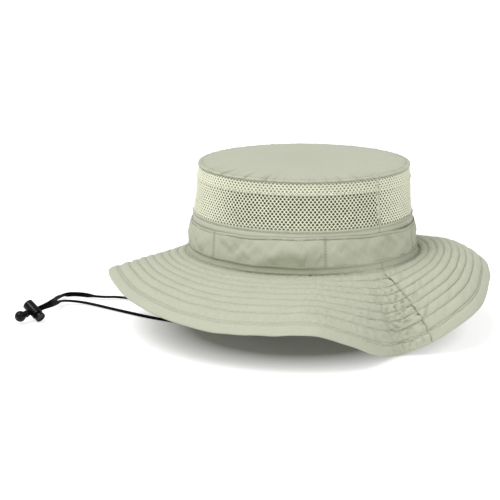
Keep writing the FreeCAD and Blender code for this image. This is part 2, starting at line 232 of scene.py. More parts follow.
# ---------------------------------------------------------------- chin cords
CORD_WIDTH = 4.2
CORD_THICK = 1.6
NIPPED_WIDTH = 2.7             # where the lock holds the two cords side by side
NIPPED_THICK = 2.1
BACK = 4.0                     # the crown and the cords sit this far behind the middle of the brim
EXIT_REACH = 85.3              # a cord's exit from the hat, to either side and up
EXIT_HEIGHT = 57.7
LOCK_AT = Vector((-3.3, -238.6 + BACK, 9.4))
CORDS_WAY = Vector((0.657304, -0.738203, -0.151685)).normalized()
BARREL_WAY = Vector((0.611655, 0.640143, -0.464861))
BARREL_WAY = (BARREL_WAY - CORDS_WAY * BARREL_WAY.dot(CORDS_WAY)).normalized()
NEAR_ROUTE = [
    (EXIT_REACH, 0.0, EXIT_HEIGHT), (82.5, -5.0, 34.0), (66.0, -16.0, 13.0), (34.0, -44.0, 3.6), (16.0, -84.0, 1.3),
    (-3.0, -127.0, 1.3), (-33.0, -168.0, 1.6), (-57.0, -200.0, 2.2), (-56.0, -220.5, 4.0),
]
FAR_ROUTE = [
    (-EXIT_REACH, 0.0, EXIT_HEIGHT), (-82.5, -5.0, 34.0), (-70.0, -18.0, 9.0), (-50.0, -48.0, 1.4), (-40.0, -90.0, 1.3),
    (-52.0, -132.0, 1.3), (-74.0, -164.0, 2.2), (-70.0, -186.0, 3.0), (-85.0, -208.0, 2.0), (-79.0, -220.5, 2.6),
    (-52.0, -223.5, 7.5),
]


def pick(*pieces):
    """Selects these pieces alone, with the first one active."""
    bpy.ops.object.select_all(action="DESELECT")
    for piece in pieces:
        piece.select_set(True)
    bpy.context.view_layer.objects.active = pieces[0]


def apply(piece, kind, **settings):
    """Puts a modifier on the piece and applies it."""
    pick(piece)
    modifier = piece.modifiers.new(kind.lower(), kind)
    for key, value in settings.items():
        setattr(modifier, key, value)
    bpy.ops.object.modifier_apply(modifier=modifier.name)


def add_object(name, data, body="hat"):
    made = bpy.data.objects.new(name, data)
    bpy.context.scene.collection.objects.link(made)
    if body:
        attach(made, body)
    return made


def cord_line(name, points):
    """Points along the smooth line that a cord's middle follows."""
    curve = bpy.data.curves.new(name + "_line", "CURVE")
    curve.dimensions = "3D"
    curve.resolution_u = 14
    spline = curve.splines.new("NURBS")
    spline.points.add(len(points) - 1)
    for point, place in zip(spline.points, points):
        point.co = (*(Vector(place) * MM), 1.0)
    spline.order_u = 3
    spline.use_endpoint_u = True
    holder = bpy.data.objects.new(name + "_line", curve)
    bpy.context.scene.collection.objects.link(holder)
    bpy.context.view_layer.update()
    mesh = bpy.data.meshes.new_from_object(holder)
    line = [v.co.copy() for v in mesh.vertices]
    bpy.data.objects.remove(holder)
    bpy.data.meshes.remove(mesh)
    return line


def eased(value, keys):
    """Value of a smooth curve through (place, amount) pairs."""
    if value <= keys[0][0]:
        return keys[0][1]
    for (a, first), (b, second) in zip(keys, keys[1:]):
        if value <= b:
            t = (value - a) / (b - a)
            return first + (second - first) * t * t * (3.0 - 2.0 * t)
    return keys[-1][1]


def flat_cord(name, route, side, twists):
    """Flat braided cord along its route; twists are (distance from the lock end, degrees off flat)."""
    points = [(x, y + BACK, z) for x, y, z in route]
    beside = LOCK_AT + BARREL_WAY * (1.45 * side)
    points += [tuple(beside + CORDS_WAY * ahead) for ahead in (-21.0, -5.0, 8.0)]
    line = cord_line(name, points)
    total = sum((b - a).length for a, b in zip(line, line[1:]))
    around = 16
    verts, faces = [], []
    run = 0.0
    flat = None
    for i, at in enumerate(line):
        ahead = (line[min(i + 1, len(line) - 1)] - line[max(i - 1, 0)]).normalized()
        if i:
            run += (at - line[i - 1]).length
        left = (total - run) / MM
        up = Vector((0.0, 0.0, 1.0)) if abs(ahead.z) < 0.9 else Vector((0.0, 1.0, 0.0))
        sideways = ahead.cross(up).normalized()
        if flat is not None:
            sideways = (sideways * 0.35 + (flat - ahead * flat.dot(ahead)).normalized() * 0.65).normalized()
        flat = sideways
        nipped = eased(left, ((0.0, 0.0), (16.5, 0.0), (23.0, 0.5), (32.0, 1.15), (46.0, 1.0)))
        width = NIPPED_WIDTH + (CORD_WIDTH - NIPPED_WIDTH) * nipped
        thick = NIPPED_THICK + (CORD_THICK - NIPPED_THICK) * nipped
        roll = Matrix.Rotation(math.radians(eased(left, twists)), 3, ahead)
        across = roll @ sideways
        over = across.cross(ahead)
        lock_across = eased(left, ((0.0, 1.0), (16.5, 1.0), (24.0, 0.0)))
        if lock_across > 0.0:
            held = (BARREL_WAY - ahead * BARREL_WAY.dot(ahead)).normalized()
            if held.dot(across) < 0.0:
                held = -held
            across = (across * (1.0 - lock_across) + held * lock_across).normalized()
            over = across.cross(ahead)
        for k in range(around):
            a = 2.0 * math.pi * k / around
            c, s = math.cos(a), math.sin(a)
            x = math.copysign(abs(c) ** 0.75, c) * width / 2.0
            y = math.copysign(abs(s) ** 0.75, s) * thick / 2.0
            verts.append(at + (across * x + over * y) * MM)
    rings = len(line)
    for i in range(rings - 1):
        for k in range(around):
            n = (k + 1) % around
            faces.append((i * around + k, i * around + n, (i + 1) * around + n, (i + 1) * around + k))
    faces.append(tuple(range(around)))
    faces.append(tuple(range((rings - 1) * around, rings * around)))
    mesh = bpy.data.meshes.new(name)
    mesh.from_pydata(verts, [], faces)
    layer = mesh.uv_layers.new(name="weave")
    girth = 2.0 * (CORD_WIDTH + CORD_THICK) * MM
    for face in mesh.polygons:
        for corner in face.loop_indices:
            index = mesh.loops[corner].vertex_index
            i, k = divmod(index, around)
            if k == 0 and face.index % around == around - 1:
                k = around
            layer.data[corner].uv = (total * i / rings, girth * k / around)
    face_outwards(mesh)
    mesh.shade_smooth()
    mesh.materials.append(cord_finish)
    cord = add_object(name + "_braid", mesh)
    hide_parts(name)
    return cord, line, total


def face_outwards(mesh):
    shaped = bmesh.new()
    shaped.from_mesh(mesh)
    bmesh.ops.recalc_face_normals(shaped, faces=shaped.faces)
    shaped.to_mesh(mesh)
    shaped.free()


near_twists = ((0.0, -27.0), (18.0, -27.0), (30.0, -84.0), (38.0, -80.0), (58.0, -4.0), (110.0, -6.0),
               (150.0, -12.0), (200.0, 0.0))
far_twists = ((0.0, -27.0), (18.0, -27.0), (28.0, -75.0), (40.0, -40.0), (52.0, -14.0), (64.0, -26.0),
              (84.0, -12.0), (98.0, -84.0), (106.0, -80.0), (122.0, -4.0), (200.0, 0.0))
near_cord, near_line, near_total = flat_cord("chin_cord_near", NEAR_ROUTE, 1.0, near_twists)
far_cord, far_line, far_total = flat_cord("chin_cord_far", FAR_ROUTE, -1.0, far_twists)

# ---------------------------------------------------------------- shape of the crown and the brim
LONG = 101.0                   # half of the crown's length at the brim seam
SQUEEZE = 176.0 / 202.0        # the crown's width over its length
TAPER = 9.2
CROWN_HEIGHT = 80.5
SEAM_HEIGHT = 66.0
WALL_TOP = 38.0
BAND_FOOT = 7.2
BAND_HEIGHT = 23.0
PANEL_SEAM = 45.0
MESH_SEAM = 44.0
TACKS = (10.5, 72.0, 133.0, 193.0, 249.0, 305.5)
EVEN_RUN = 90.0                # radius that turns an azimuth into a run round the crown
# azimuth, reach, height of the edge, bow
BRIM_EDGE = [
    (-90.0, 170.0, 47.0, 2.0), (-75.0, 170.0, 49.0, 4.0), (-62.0, 168.0, 43.0, 5.0), (-45.0, 162.0, 36.0, 6.0),
    (-28.0, 157.5, 32.5, 7.0), (-12.0, 156.0, 34.0, 7.0), (2.0, 155.5, 34.5, 7.0), (12.0, 150.5, 24.5, 8.0),
    (22.0, 141.0, 11.6, 10.0), (30.0, 129.5, 3.6, 11.0), (36.0, 125.5, 0.6, 11.0), (41.0, 129.0, 2.0, 11.0),
    (47.0, 144.0, 11.0, 10.0), (54.0, 156.0, 22.5, 9.0), (64.0, 164.0, 33.5, 10.0), (76.0, 163.0, 43.0, 11.0),
    (90.0, 163.0, 48.5, 10.0), (104.0, 163.5, 46.5, 10.0), (116.0, 163.0, 37.0, 9.0), (126.0, 156.0, 26.0, 9.0),
    (133.0, 144.5, 13.0, 10.0), (139.0, 130.5, 2.5, 11.0), (144.0, 126.0, 0.15, 11.0), (150.0, 130.5, 2.5, 11.0),
    (158.0, 140.5, 13.0, 10.0), (168.0, 150.5, 27.0, 8.0), (178.0, 155.5, 36.5, 7.0), (192.0, 155.5, 36.0, 6.0),
    (205.0, 151.0, 28.0, 6.0), (216.0, 142.0, 14.0, 6.0), (226.0, 133.0, 2.6, 5.0), (233.0, 131.0, 0.15, 4.0),
    (240.0, 136.0, 4.8, 3.0), (248.0, 149.0, 20.0, 2.0), (256.0, 159.0, 32.0, 1.0), (263.0, 166.0, 41.5, 1.0),
]
QUILT_ROWS = (0.026, 0.123, 0.228, 0.32, 0.42, 0.523, 0.62, 0.727, 0.855, 0.878)


def ripple(x, y, seed=0.0):
    return noise.noise(Vector((x, y, seed)))


def bell(value, middle, width):
    return math.exp(-((value - middle) / width) ** 2)


def turn_gap(azimuth, middle):
    """Degrees between two azimuths, the short way round."""
    return (azimuth - middle + 180.0) % 360.0 - 180.0


def seam_gap(azimuth, seam):
    """Degrees from the nearer of a pair of seams, one either side of the back."""
    return min(abs(turn_gap(azimuth, seam)), abs(turn_gap(azimuth, 180.0 - seam)))


def tack_gap(azimuth):
    """Millimetres round the band from the nearest tack."""
    return min(abs(turn_gap(azimuth, tack)) for tack in TACKS) * 1.57


def wall_radius(level):
    return LONG - TAPER * level / CROWN_HEIGHT


def crown_point(azimuth, level, out):
    a = math.radians(azimuth)
    turn = math.atan2(math.sin(a), math.cos(a) / SQUEEZE)
    high = max(0.0, level - 45.0) / 36.0
    waist = eased(level, ((0.0, 0.0), (12.0, 1.0), (42.0, 1.0), (76.0, 0.0)))
    tucked = 1.3 * high + 1.0 * waist if turn < 0.0 else 0.5 * high + 2.0 * waist
    radius = wall_radius(level) - tucked * abs(math.sin(turn)) ** 4
    way = Vector((math.cos(turn) / SQUEEZE, math.sin(turn), 0.0)).normalized()
    return Vector((SQUEEZE * radius * math.cos(turn), radius * math.sin(turn) + BACK, SEAM_HEIGHT + level)) + way * out


def outwards(azimuth, level):
    return (crown_point(azimuth, level, 1.0) - crown_point(azimuth, level, 0.0)).normalized()


def brim_edge(azimuth):
    count = len(BRIM_EDGE)
    angle = BRIM_EDGE[0][0] + (azimuth - BRIM_EDGE[0][0]) % 360.0
    at = max(i for i in range(count) if BRIM_EDGE[i][0] <= angle)
    rows = []
    for i in range(at - 1, at + 3):
        turns, index = divmod(i, count)
        row = BRIM_EDGE[index]
        rows.append((row[0] + 360.0 * turns,) + row[1:])
    span = rows[2][0] - rows[1][0]
    t = (angle - rows[1][0]) / span
    out = []
    for k in (1, 2, 3):
        enter = (rows[2][k] - rows[0][k]) / (rows[2][0] - rows[0][0]) * span
        leave = (rows[3][k] - rows[1][k]) / (rows[3][0] - rows[1][0]) * span
        value = (2 * t ** 3 - 3 * t ** 2 + 1) * rows[1][k] + (t ** 3 - 2 * t ** 2 + t) * enter
        value += (3 * t ** 2 - 2 * t ** 3) * rows[2][k] + (t ** 3 - t ** 2) * leave
        out.append(value)
    return out


edge_kept = {}


def brim_point(azimuth, along, lift):
    """Point of the brim: 0 to 1 from seam to edge, lifted off its middle surface."""
    key = round(azimuth, 4)
    if key not in edge_kept:
        a = math.radians(azimuth)
        seam = 1.0 / math.hypot(math.cos(a) / (SQUEEZE * LONG), math.sin(a) / LONG)
        edge_kept[key] = (math.cos(a), math.sin(a), seam, *brim_edge(azimuth))
    east, north, seam, reach, height, bow = edge_kept[key]
    run = reach - seam
    drop = height - SEAM_HEIGHT
    chord = math.hypot(run, drop)
    rise = 4.0 * bow * along * (1.0 - along)
    r = seam + run * along - drop / chord * rise
    z = SEAM_HEIGHT + drop * along + run / chord * rise
    slope = 4.0 * bow * (1.0 - 2.0 * along)
    dr = run - drop / chord * slope
    dz = drop + run / chord * slope
    size = math.hypot(dr, dz)
    return Vector(((r - dz / size * lift) * east, (r - dz / size * lift) * north + BACK, z + dr / size * lift))


# ---------------------------------------------------------------- cloth
def cloth(name, columns, rows, place, thick, facing, finish, loop=False, painted_shade=None, body="hat"):
    """Sewn sheet through place(column, row), with its weave laid out in metres."""
    points = [[place(c, r) * MM for r in rows] for c in columns]
    high = len(rows)
    if loop:
        points.append(points[0])
    middle = high // 2
    reach = [0.0]
    for first, second in zip(points, points[1:]):
        reach.append(reach[-1] + (second[middle] - first[middle]).length)
    climb = [0.0]
    spot = points[len(points) // 2]
    for first, second in zip(spot, spot[1:]):
        climb.append(climb[-1] + (second - first).length)
    wide = len(columns)
    verts = [p for column in points[:wide] for p in column]
    faces, corners = [], []
    for i in range(len(points) - 1):
        n = (i + 1) % wide
        for j in range(high - 1):
            faces.append((i * high + j, n * high + j, n * high + j + 1, i * high + j + 1))
            corners += [(reach[i], climb[j]), (reach[i + 1], climb[j]), (reach[i + 1], climb[j + 1]),
                        (reach[i], climb[j + 1])]
    name += "_cloth"
    mesh = bpy.data.meshes.new(name)
    mesh.from_pydata(verts, [], faces)
    layer = mesh.uv_layers.new(name="weave")
    for data, uv in zip(layer.data, corners):
        data.uv = uv
    # Painted shade per point, from the painted_shade function, darkens the finish there.
    painted_shade_mask = mesh.attributes.new("painted_shade", "FLOAT", "POINT")
    if painted_shade:
        shades = [min(1.0, max(0.0, painted_shade(c, r))) for c in columns for r in rows]
        painted_shade_mask.data.foreach_set("value", shades)
    total = 0.0
    for face in mesh.polygons:
        out = face.center - Vector((0.0, BACK * MM, 0.0))
        out.z = 0.0
        way = {"out": out, "in": -out, "up": Vector((0, 0, 1)), "down": Vector((0, 0, -1))}[facing]
        total += face.normal.dot(way) * face.area
    if total < 0.0:
        mesh.flip_normals()
    mesh.materials.append(finish)
    piece = add_object(name, mesh, None)
    apply(piece, "WELD", merge_threshold=0.000002)
    apply(piece, "SOLIDIFY", thickness=thick * MM, offset=-1.0)
    piece.data.shade_smooth()
    if body:
        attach(piece, body)
    return piece


def join(first, *others):
    pick(first, *others)
    bpy.ops.object.join()


def stitches(name, rows, pitch=3.0, size=0.26, length=2.3, finish=None):
    """Lines of thread stitches; each row is a list of (point, outward direction) close together."""
    verts, faces = [], []
    for row in rows:
        places = [p for p, _ in row]
        spans = [(b - a).length for a, b in zip(places, places[1:])]
        total = sum(spans)
        count = max(1, int(total / pitch))
        at, walked, step = 0, 0.0, total / count
        for k in range(count):
            target = step * (k + 0.5)
            while at < len(spans) - 1 and walked + spans[at] < target:
                walked += spans[at]
                at += 1
            share = (target - walked) / max(spans[at], 1e-9)
            centre = places[at].lerp(places[at + 1], share)
            way = (places[at + 1] - places[at]).normalized()
            out = row[at][1]
            out = (out - way * out.dot(way)).normalized()
            side = way.cross(out)
            first = len(verts)
            verts.append((centre - way * length / 2.0 - out * size * 0.8) * MM)
            for shift in (-0.3, 0.3):
                for u, v in ((1, 0), (0, 1), (-1, 0), (0, -1)):
                    verts.append((centre + way * length * shift + side * u * size * 0.7 + out * v * size * 0.7) * MM)
            verts.append((centre + way * length / 2.0 - out * size * 0.8) * MM)
            for q in range(4):
                n = (q + 1) % 4
                faces.append((first, first + 1 + n, first + 1 + q))
                faces.append((first + 1 + q, first + 1 + n, first + 5 + n, first + 5 + q))
                faces.append((first + 9, first + 5 + q, first + 5 + n))
    mesh = bpy.data.meshes.new(name)
    mesh.from_pydata(verts, [], faces)
    mesh.uv_layers.new(name="weave")
    face_outwards(mesh)
    mesh.shade_smooth()
    mesh.materials.append(finish or thread_finish)
    piece = add_object(name, mesh)
    return piece


def spread(start, end, step):
    count = max(2, int(round((end - start) / step)) + 1)
    return [start + (end - start) * i / (count - 1) for i in range(count)]


FULL_TURN = spread(0.0, 360.0, 1.0)

# ---------------------------------------------------------------- brim
BRIM_CLOTH = 0.45
CHANNEL = (0.0, 0.05, 0.14, 0.3, 0.5, 0.7, 0.86, 0.95)


def brim_rows(fine):
    """(channel, share of the channel) from the crown to the edge."""
    shares = CHANNEL if fine else (0.0, 0.09, 0.35, 0.65, 0.91)
    rows = [(-1, 0.0), (-1, 0.5)]
    for k in range(len(QUILT_ROWS) - 1):
        if k == 8:
            rows += [(k, 0.0), (k, 0.25), (k, 0.5), (k, 0.75)]
        else:
            rows += [(k, s) for s in shares]
    shares = (0.0, 0.05, 0.12, 0.28, 0.5, 0.7, 0.86, 0.94, 0.98, 1.0) if fine else (0.0, 0.1, 0.5, 0.9, 1.0)
    return rows + [(9, s) for s in shares]


def brim_along(azimuth, row):
    """Share of the way from seam to edge, with the rows of stitching a little uneven."""
    channel, share = row
    stops = (-0.03,) + QUILT_ROWS + (1.0,)
    first, second = stops[channel + 1], stops[channel + 2]
    a = math.radians(azimuth)
    wander = 0.006 * ripple(math.cos(a) * 9.0, math.sin(a) * 9.0, 3.0 + channel)
    wander_next = 0.006 * ripple(math.cos(a) * 9.0, math.sin(a) * 9.0, 4.0 + channel)
    if channel < 0:
        wander = 0.0
    if channel == 9:
        wander_next = 0.0
    return (first + wander) * (1.0 - share) + (second + wander_next) * share


def brim_wave(azimuth, along):
    """Slow uneven swell that all the layers share."""
    a = math.radians(azimuth)
    x, y = math.cos(a), math.sin(a)
    swell = 1.5 * ripple(x * 3.2 * (1.0 + along), y * 3.2 * (1.0 + along), 11.0) * along
    swell += 0.8 * ripple(x * 9.0, y * 9.0 + along * 2.0, 17.0) * along
    near_fold = turn_gap(azimuth, 27.0 + 5.0 * along)
    middle = bell(along, 0.6, 0.4)
    swell += 1.5 * bell(near_fold, 0.0, 2.6) * middle - 1.1 * bell(near_fold, 4.0, 2.6) * middle
    far_fold = turn_gap(azimuth, 152.0 - 5.0 * along)
    swell += 1.4 * bell(far_fold, 0.0, 2.8) * middle
    front_fold = turn_gap(azimuth, 226.0 + 4.0 * along)
    swell += 1.2 * bell(front_fold, 0.0, 3.0) * bell(along, 0.7, 0.35)
    keep = min(1.0, max(0.0, (brim_point(azimuth, along, 0.0).z - 2.0) / 6.0))
    return swell * keep


def brim_pucker(azimuth, along, channel):
    """Small wrinkles across each quilted channel, strongest at the tight bends."""
    a = math.radians(azimuth)
    radius = 100.0 + 60.0 * along
    run = a * radius
    outer = eased(along, ((0.05, 0.25), (0.40, 1.0)))
    strong = 0.5 + 0.5 * bell(turn_gap(azimuth, 22.0), 0.0, 26.0)
    strong += 1.1 * bell(turn_gap(azimuth, 41.0), 0.0, 6.5) * outer
    strong += 0.5 * bell(turn_gap(azimuth, seam_azimuth(PANEL_SEAM, along)), 0.0, 5.0)
    strong += 1.3 * bell(turn_gap(azimuth, 137.5), 0.0, 6.0) * outer
    strong += 1.0 * bell(turn_gap(azimuth, 230.0), 0.0, 9.0) * outer
    across = along * 70.0
    long = ripple(run / 3.3, across / 20.0, 0.7 * channel)
    fine = ripple(run / 2.6, across / 4.0, 2.9 * channel + 40.0)
    return strong * (1.15 * long + 0.4 * fine)


def seam_azimuth(azimuth, along):
    """The radial seams lean towards the back as they run out."""
    near = bell(turn_gap(azimuth, PANEL_SEAM), 0.0, 22.0)
    far = bell(turn_gap(azimuth, 180.0 - PANEL_SEAM), 0.0, 22.0)
    return azimuth + (5.0 * along - 3.0) * (near - far)


def brim_place(side):
    def place(sewn, row):
        channel, share = row
        along = brim_along(sewn, row)
        azimuth = seam_azimuth(sewn, along)
        if channel < 0:
            full = 0.6
        elif channel == 9:
            full = min(1.0, (share / 0.16) ** 0.6) if share < 0.16 else 1.0
        else:
            full = (4.0 * share * (1.0 - share)) ** 0.45
            if channel == 8:
                full *= 0.45
        lift = 0.5 + (0.52 + 1.4 * math.sin(math.radians(azimuth)) ** 2) * full
        if channel == 9:
            full *= 1.0 - share ** 4
            lift *= math.sqrt(max(0.0, 1.0 - share ** 10))
        bend = brim_pucker(azimuth, along, channel) * (full if channel == 9 else 0.25 + 0.75 * full)
        lift *= 1.0 - 0.25 * bell(seam_gap(sewn, PANEL_SEAM), 0.0, 0.4)
        bend *= 1.0 if side > 0 else 0.7
        point = brim_point(azimuth, along, brim_wave(azimuth, along) + side * lift + bend)
        point.z = max(point.z, 0.25 if side < 0 else 0.35)
        return point
    return place


def brim_painted_shade(azimuth, row):
    channel, share = row
    # Painted shade: along the quilted rows, in the puckers' hollows, at the panel seams, on the rolled outer edge and
    # next to the crown; heavier on the left side.
    shaded = 0.12 + 0.38 * bell(turn_gap(azimuth, -22.0), 0.0, 42.0)
    if channel < 0:
        return shaded
    sewn = 0.13 * bell(seam_gap(azimuth, PANEL_SEAM), 0.0, 0.35)
    uneven = 0.62 + 1.0 * ripple(math.radians(azimuth) * 50.0, 3.0 * channel, 33.0)
    uneven += 0.5 * math.sin(math.radians(azimuth) * (100.0 + 60.0 * brim_along(azimuth, row)) * 2.0)
    if channel == 9:
        return sewn + 0.3 * uneven * bell(share, 0.0, 0.05) + 0.38 * bell(share, 1.0, 0.025)
    edge = min(share, 1.0 - share)
    along = brim_along(azimuth, row)
    hollow = max(0.0, -brim_pucker(seam_azimuth(azimuth, along), along, channel))
    hollow *= 0.3 + 0.7 * (4.0 * share * (1.0 - share)) ** 0.45
    close = 0.6 * shaded * (1.0 - share) if channel == 0 else 0.0
    return 0.23 * uneven * bell(edge, 0.0, 0.10) + sewn + close + 0.25 * hollow


front_azimuths = spread(180.0 - PANEL_SEAM, 300.0, 0.80)[:-1] + spread(300.0, 360.0 + PANEL_SEAM, 0.375)
back_azimuths = spread(PANEL_SEAM, 180.0 - PANEL_SEAM, 0.45)
for part, azimuths in (("front", front_azimuths), ("back", back_azimuths)):
    top = cloth("brim_top_" + part, azimuths, brim_rows(True), brim_place(1.0), BRIM_CLOTH, "up", main_cloth,
                painted_shade=brim_painted_shade)
    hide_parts("brim_top_" + part)
    every_other = azimuths[::2] + azimuths[-1:] if len(azimuths) % 2 == 0 else azimuths[::2]
    under = cloth("brim_under_" + part, every_other, brim_rows(False), brim_place(-1.0), BRIM_CLOTH, "down", main_cloth,
                  painted_shade=brim_painted_shade)
    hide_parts("brim_under_" + part)
    middle = cloth("brim_interlining_" + part, azimuths[::5] + azimuths[-1:], spread(0.02, 0.96, 0.06),
                   lambda azimuth, along: brim_point(azimuth, along, brim_wave(azimuth, along) + 0.25), 0.5, "up",
                   lining_cloth)
    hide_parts("brim_interlining_" + part)

for side, which in ((1.0, "top"), (-1.0, "under")):
    place = brim_place(side)
    lines = []
    for k in range(len(QUILT_ROWS)):
        for azimuths in (front_azimuths, back_azimuths):
            line = []
            for azimuth in azimuths[::2]:
                at = place(azimuth, (k, 0.0))
                leaning = seam_azimuth(azimuth, QUILT_ROWS[k])
                above = brim_point(leaning, QUILT_ROWS[k], 3.0 * side)
                below = brim_point(leaning, QUILT_ROWS[k], 0.0)
                out = (above - below).normalized()
                line.append((at + out * 0.12, out))
            lines.append(line)
    stitches("brim_stitching_" + which, lines)

# ---------------------------------------------------------------- crown wall
WALL_STITCH = 35.6


def oval_run(azimuth):
    """Roughly how far round the crown an azimuth is, in millimetres."""
    return math.radians(azimuth) * EVEN_RUN


def wall_place(azimuth, level):
    run = oval_run(azimuth)
    tight = bell(level, WALL_STITCH, 1.3)
    top = bell(level, WALL_TOP, 2.0)
    foot = bell(level, 1.0, 3.0)
    out = 0.25 * ripple(run / 30.0, level / 14.0, 21.0)
    out += (0.5 * top + 0.42 * foot) * ripple(run / 3.6, level / 5.0, 23.0)
    out += 0.22 * bell(level, 33.0, 3.0) * ripple(run / 6.0, level / 5.0, 27.0)
    out += -0.45 * tight + 0.55 * bell(level, 37.2, 0.9) + 0.35
    if level > 37.6:
        out -= 2.2 * (level - 37.6)
    out -= 0.5 * bell(seam_gap(azimuth, MESH_SEAM), 0.0, 0.5)
    return crown_point(azimuth, level + 0.35 * top * ripple(run / 9.0, 0.0, 29.0), out)


def wall_painted_shade(azimuth, level):
    # Painted shade: along the wall's stitch row, under and just above the band, at the brim seam and at the wall's top
    # edge; heavier on the left side.
    shade = 0.06 + 0.6 * bell(turn_gap(azimuth, -22.0), 0.0, 40.0)
    return 0.5 * bell(level, WALL_STITCH, 0.5) + shade * bell(level, BAND_FOOT, 4.0) + 0.25 * bell(level, 30.5, 1.6) + \
        (0.1 + 0.6 * shade) * bell(level, 0.8, 1.2) + 0.4 * bell(level, 38.2, 0.5)


wall_levels = spread(0.8, 8.0, 0.8) + spread(10.0, 29.0, 3.2) + spread(30.0, 34.6, 0.9) + \
    [35.1, 35.6, 36.1, 36.6, 37.0, 37.4, 37.7, 37.95, 38.15]
for part, azimuths in (
    ("front", spread(180.0 - MESH_SEAM, 360.0 + MESH_SEAM, 0.6)),
    ("back", spread(MESH_SEAM, 180.0 - MESH_SEAM, 0.6)),
):
    wall = cloth("crown_wall_" + part, azimuths, wall_levels, wall_place, 0.7, "out", main_cloth,
                 painted_shade=wall_painted_shade)
    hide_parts("crown_wall_" + part)


def ring_line(level, out, place):
    """Points round the crown at a level, with the way out from each."""
    line = []
    for azimuth in FULL_TURN:
        way = outwards(azimuth, level)
        line.append((place(azimuth, level) + way * out, way))
    return line


stitches("wall_stitching", [ring_line(level, 0.15, wall_place) for level in (WALL_STITCH, 2.6)], pitch=2.8, size=0.3)

# ---------------------------------------------------------------- mesh panels
PITCH = 3.4
ROW_GAP = 2.1
HOLE = 0.95
MESH_TOP = 79.6
MESH_CLOTH = 0.5
NET_THICK = 0.6
HEM_LEVEL = 67.8


def even_run(start, end):
    """Distance round the crown against azimuth, so that the holes are evenly spaced."""
    azimuths = spread(start, end, 0.5)
    reach = [0.0]
    for a, b in zip(azimuths, azimuths[1:]):
        reach.append(reach[-1] + (crown_point(b, 58.0, 0.0) - crown_point(a, 58.0, 0.0)).length)
    return azimuths, reach


def azimuth_at(table, distance):
    azimuths, reach = table
    low, high = 0, len(reach) - 1
    while high - low > 1:
        mid = (low + high) // 2
        if reach[mid] <= distance:
            low = mid
        else:
            high = mid
    share = (distance - reach[low]) / (reach[high] - reach[low])
    return azimuths[low] + (azimuths[high] - azimuths[low]) * share


def mesh_out(azimuth, level):
    """Slight sag and waviness of the net between its seams."""
    run = oval_run(azimuth)
    loose = math.sin(math.pi * min(1.0, max(0.0, (level - 36.0) / 44.0)))
    out = -0.3 + (0.7 * ripple(run / 26.0, level / 20.0, 51.0) + 0.35 * ripple(run / 11.0, level / 14.0, 53.0)) * loose
    out += 0.4 * bell(level, HEM_LEVEL + 0.4, 1.2)
    return out - 0.5 * bell(level, 36.5, 1.5)


def net(name, start, end, openness):
    """Net with staggered six-sided holes."""
    table = even_run(start, end)
    wide = table[1][-1]
    ring = [math.radians(30.0 + 60.0 * q) for q in range(6)]
    corner = [(PITCH / 2.0, 0.362), (0.0, 1.738), (-PITCH / 2.0, 0.362), (-PITCH / 2.0, -0.362), (0.0, -1.738),
              (PITCH / 2.0, -0.362)]
    shared, verts, faces, flat, depth = {}, [], [], [], []

    # deep is painted shade: none on the strands, a little partway in and most at each hole's rim.
    def put(s, t, high, deep):
        depth.append(deep)
        s = min(max(s, 0.0), wide)
        t = min(t, MESH_TOP)
        azimuth = azimuth_at(table, s)
        verts.append(crown_point(azimuth, t, mesh_out(azimuth, t) + high) * MM)
        flat.append((s * MM, t * MM))
        return len(verts) - 1

    rows = int((MESH_TOP - 36.0) / ROW_GAP)
    for j in range(rows):
        t = 36.4 + ROW_GAP * j
        for i in range(int(wide / PITCH) + 1):
            s = (i + 0.5 * (j % 2)) * PITCH + PITCH / 2.0
            if s > wide - 1.0:
                continue
            hole = HOLE * openness * (1.0 + 0.16 * ripple(i * 0.7, j * 0.9, 61.0))
            turn = azimuth_at(table, min(s, wide))
            hole *= 1.0 - 0.45 * min(1.0, max(0.0, (abs(turn_gap(turn, 0.0)) - 42.0) / 20.0))
            if t > HEM_LEVEL + 0.5:
                hole *= 0.72
            outer, mid, inner = [], [], []
            for q in range(6):
                a = ring[q]
                x, y = corner[q]
                key = (round(s + x, 2), round(t + y, 2))
                if key not in shared:
                    shared[key] = put(s + x, t + y, 0.32, 0.0)
                outer.append(shared[key])
                east, up = hole * math.cos(a), hole * 1.05 * math.sin(a)
                mid.append(put(s + (x * 0.5 + 0.5 * east), t + (y * 0.5 + 0.5 * up), 0.22, 0.1))
                inner.append(put(s + east, t + up, -0.12, 0.85))
            for q in range(6):
                n = (q + 1) % 6
                faces.append((outer[q], outer[n], mid[n], mid[q]))
                faces.append((mid[q], mid[n], inner[n], inner[q]))
    mesh = bpy.data.meshes.new(name)
    mesh.from_pydata(verts, [], faces)
    layer = mesh.uv_layers.new(name="weave")
    for loop in mesh.loops:
        layer.data[loop.index].uv = flat[loop.vertex_index]
    # Painted shade that makes the holes look deep.
    painted_shade_mask = mesh.attributes.new("painted_shade", "FLOAT", "POINT")
    painted_shade_mask.data.foreach_set("value", depth)
    out = mesh.polygons[len(mesh.polygons) // 2]
    if out.normal.dot(out.center - Vector((0.0, BACK * MM, out.center.z))) < 0.0:
        mesh.flip_normals()
    mesh.materials.append(mesh_cloth)
    piece = add_object(name, mesh, None)
    apply(piece, "SOLIDIFY", thickness=NET_THICK * MM, offset=-1.0)
    # The net's whole inner side gets strong painted shade.
    shaded_inner_side = piece.data.attributes["painted_shade"]
    for index in range(len(verts), len(piece.data.vertices)):
        shaded_inner_side.data[index].value = 0.9
    piece.data.shade_smooth()
    return piece


HEM_TOP = 79.4


def hem_place(azimuth, level):
    return crown_point(azimuth, level, mesh_out(azimuth, level) - 0.95)


def edge_place(azimuth, level):
    return crown_point(azimuth, level, mesh_out(azimuth, level) + 0.5 + 0.25 * ripple(level / 3.0, azimuth, 71.0))


def edge_painted_shade(azimuth, level):
    # Painted shade along the strips at the net's upright seams, uneven along them.
    return 0.3 + ripple(level * 1.3, azimuth, 73.0)


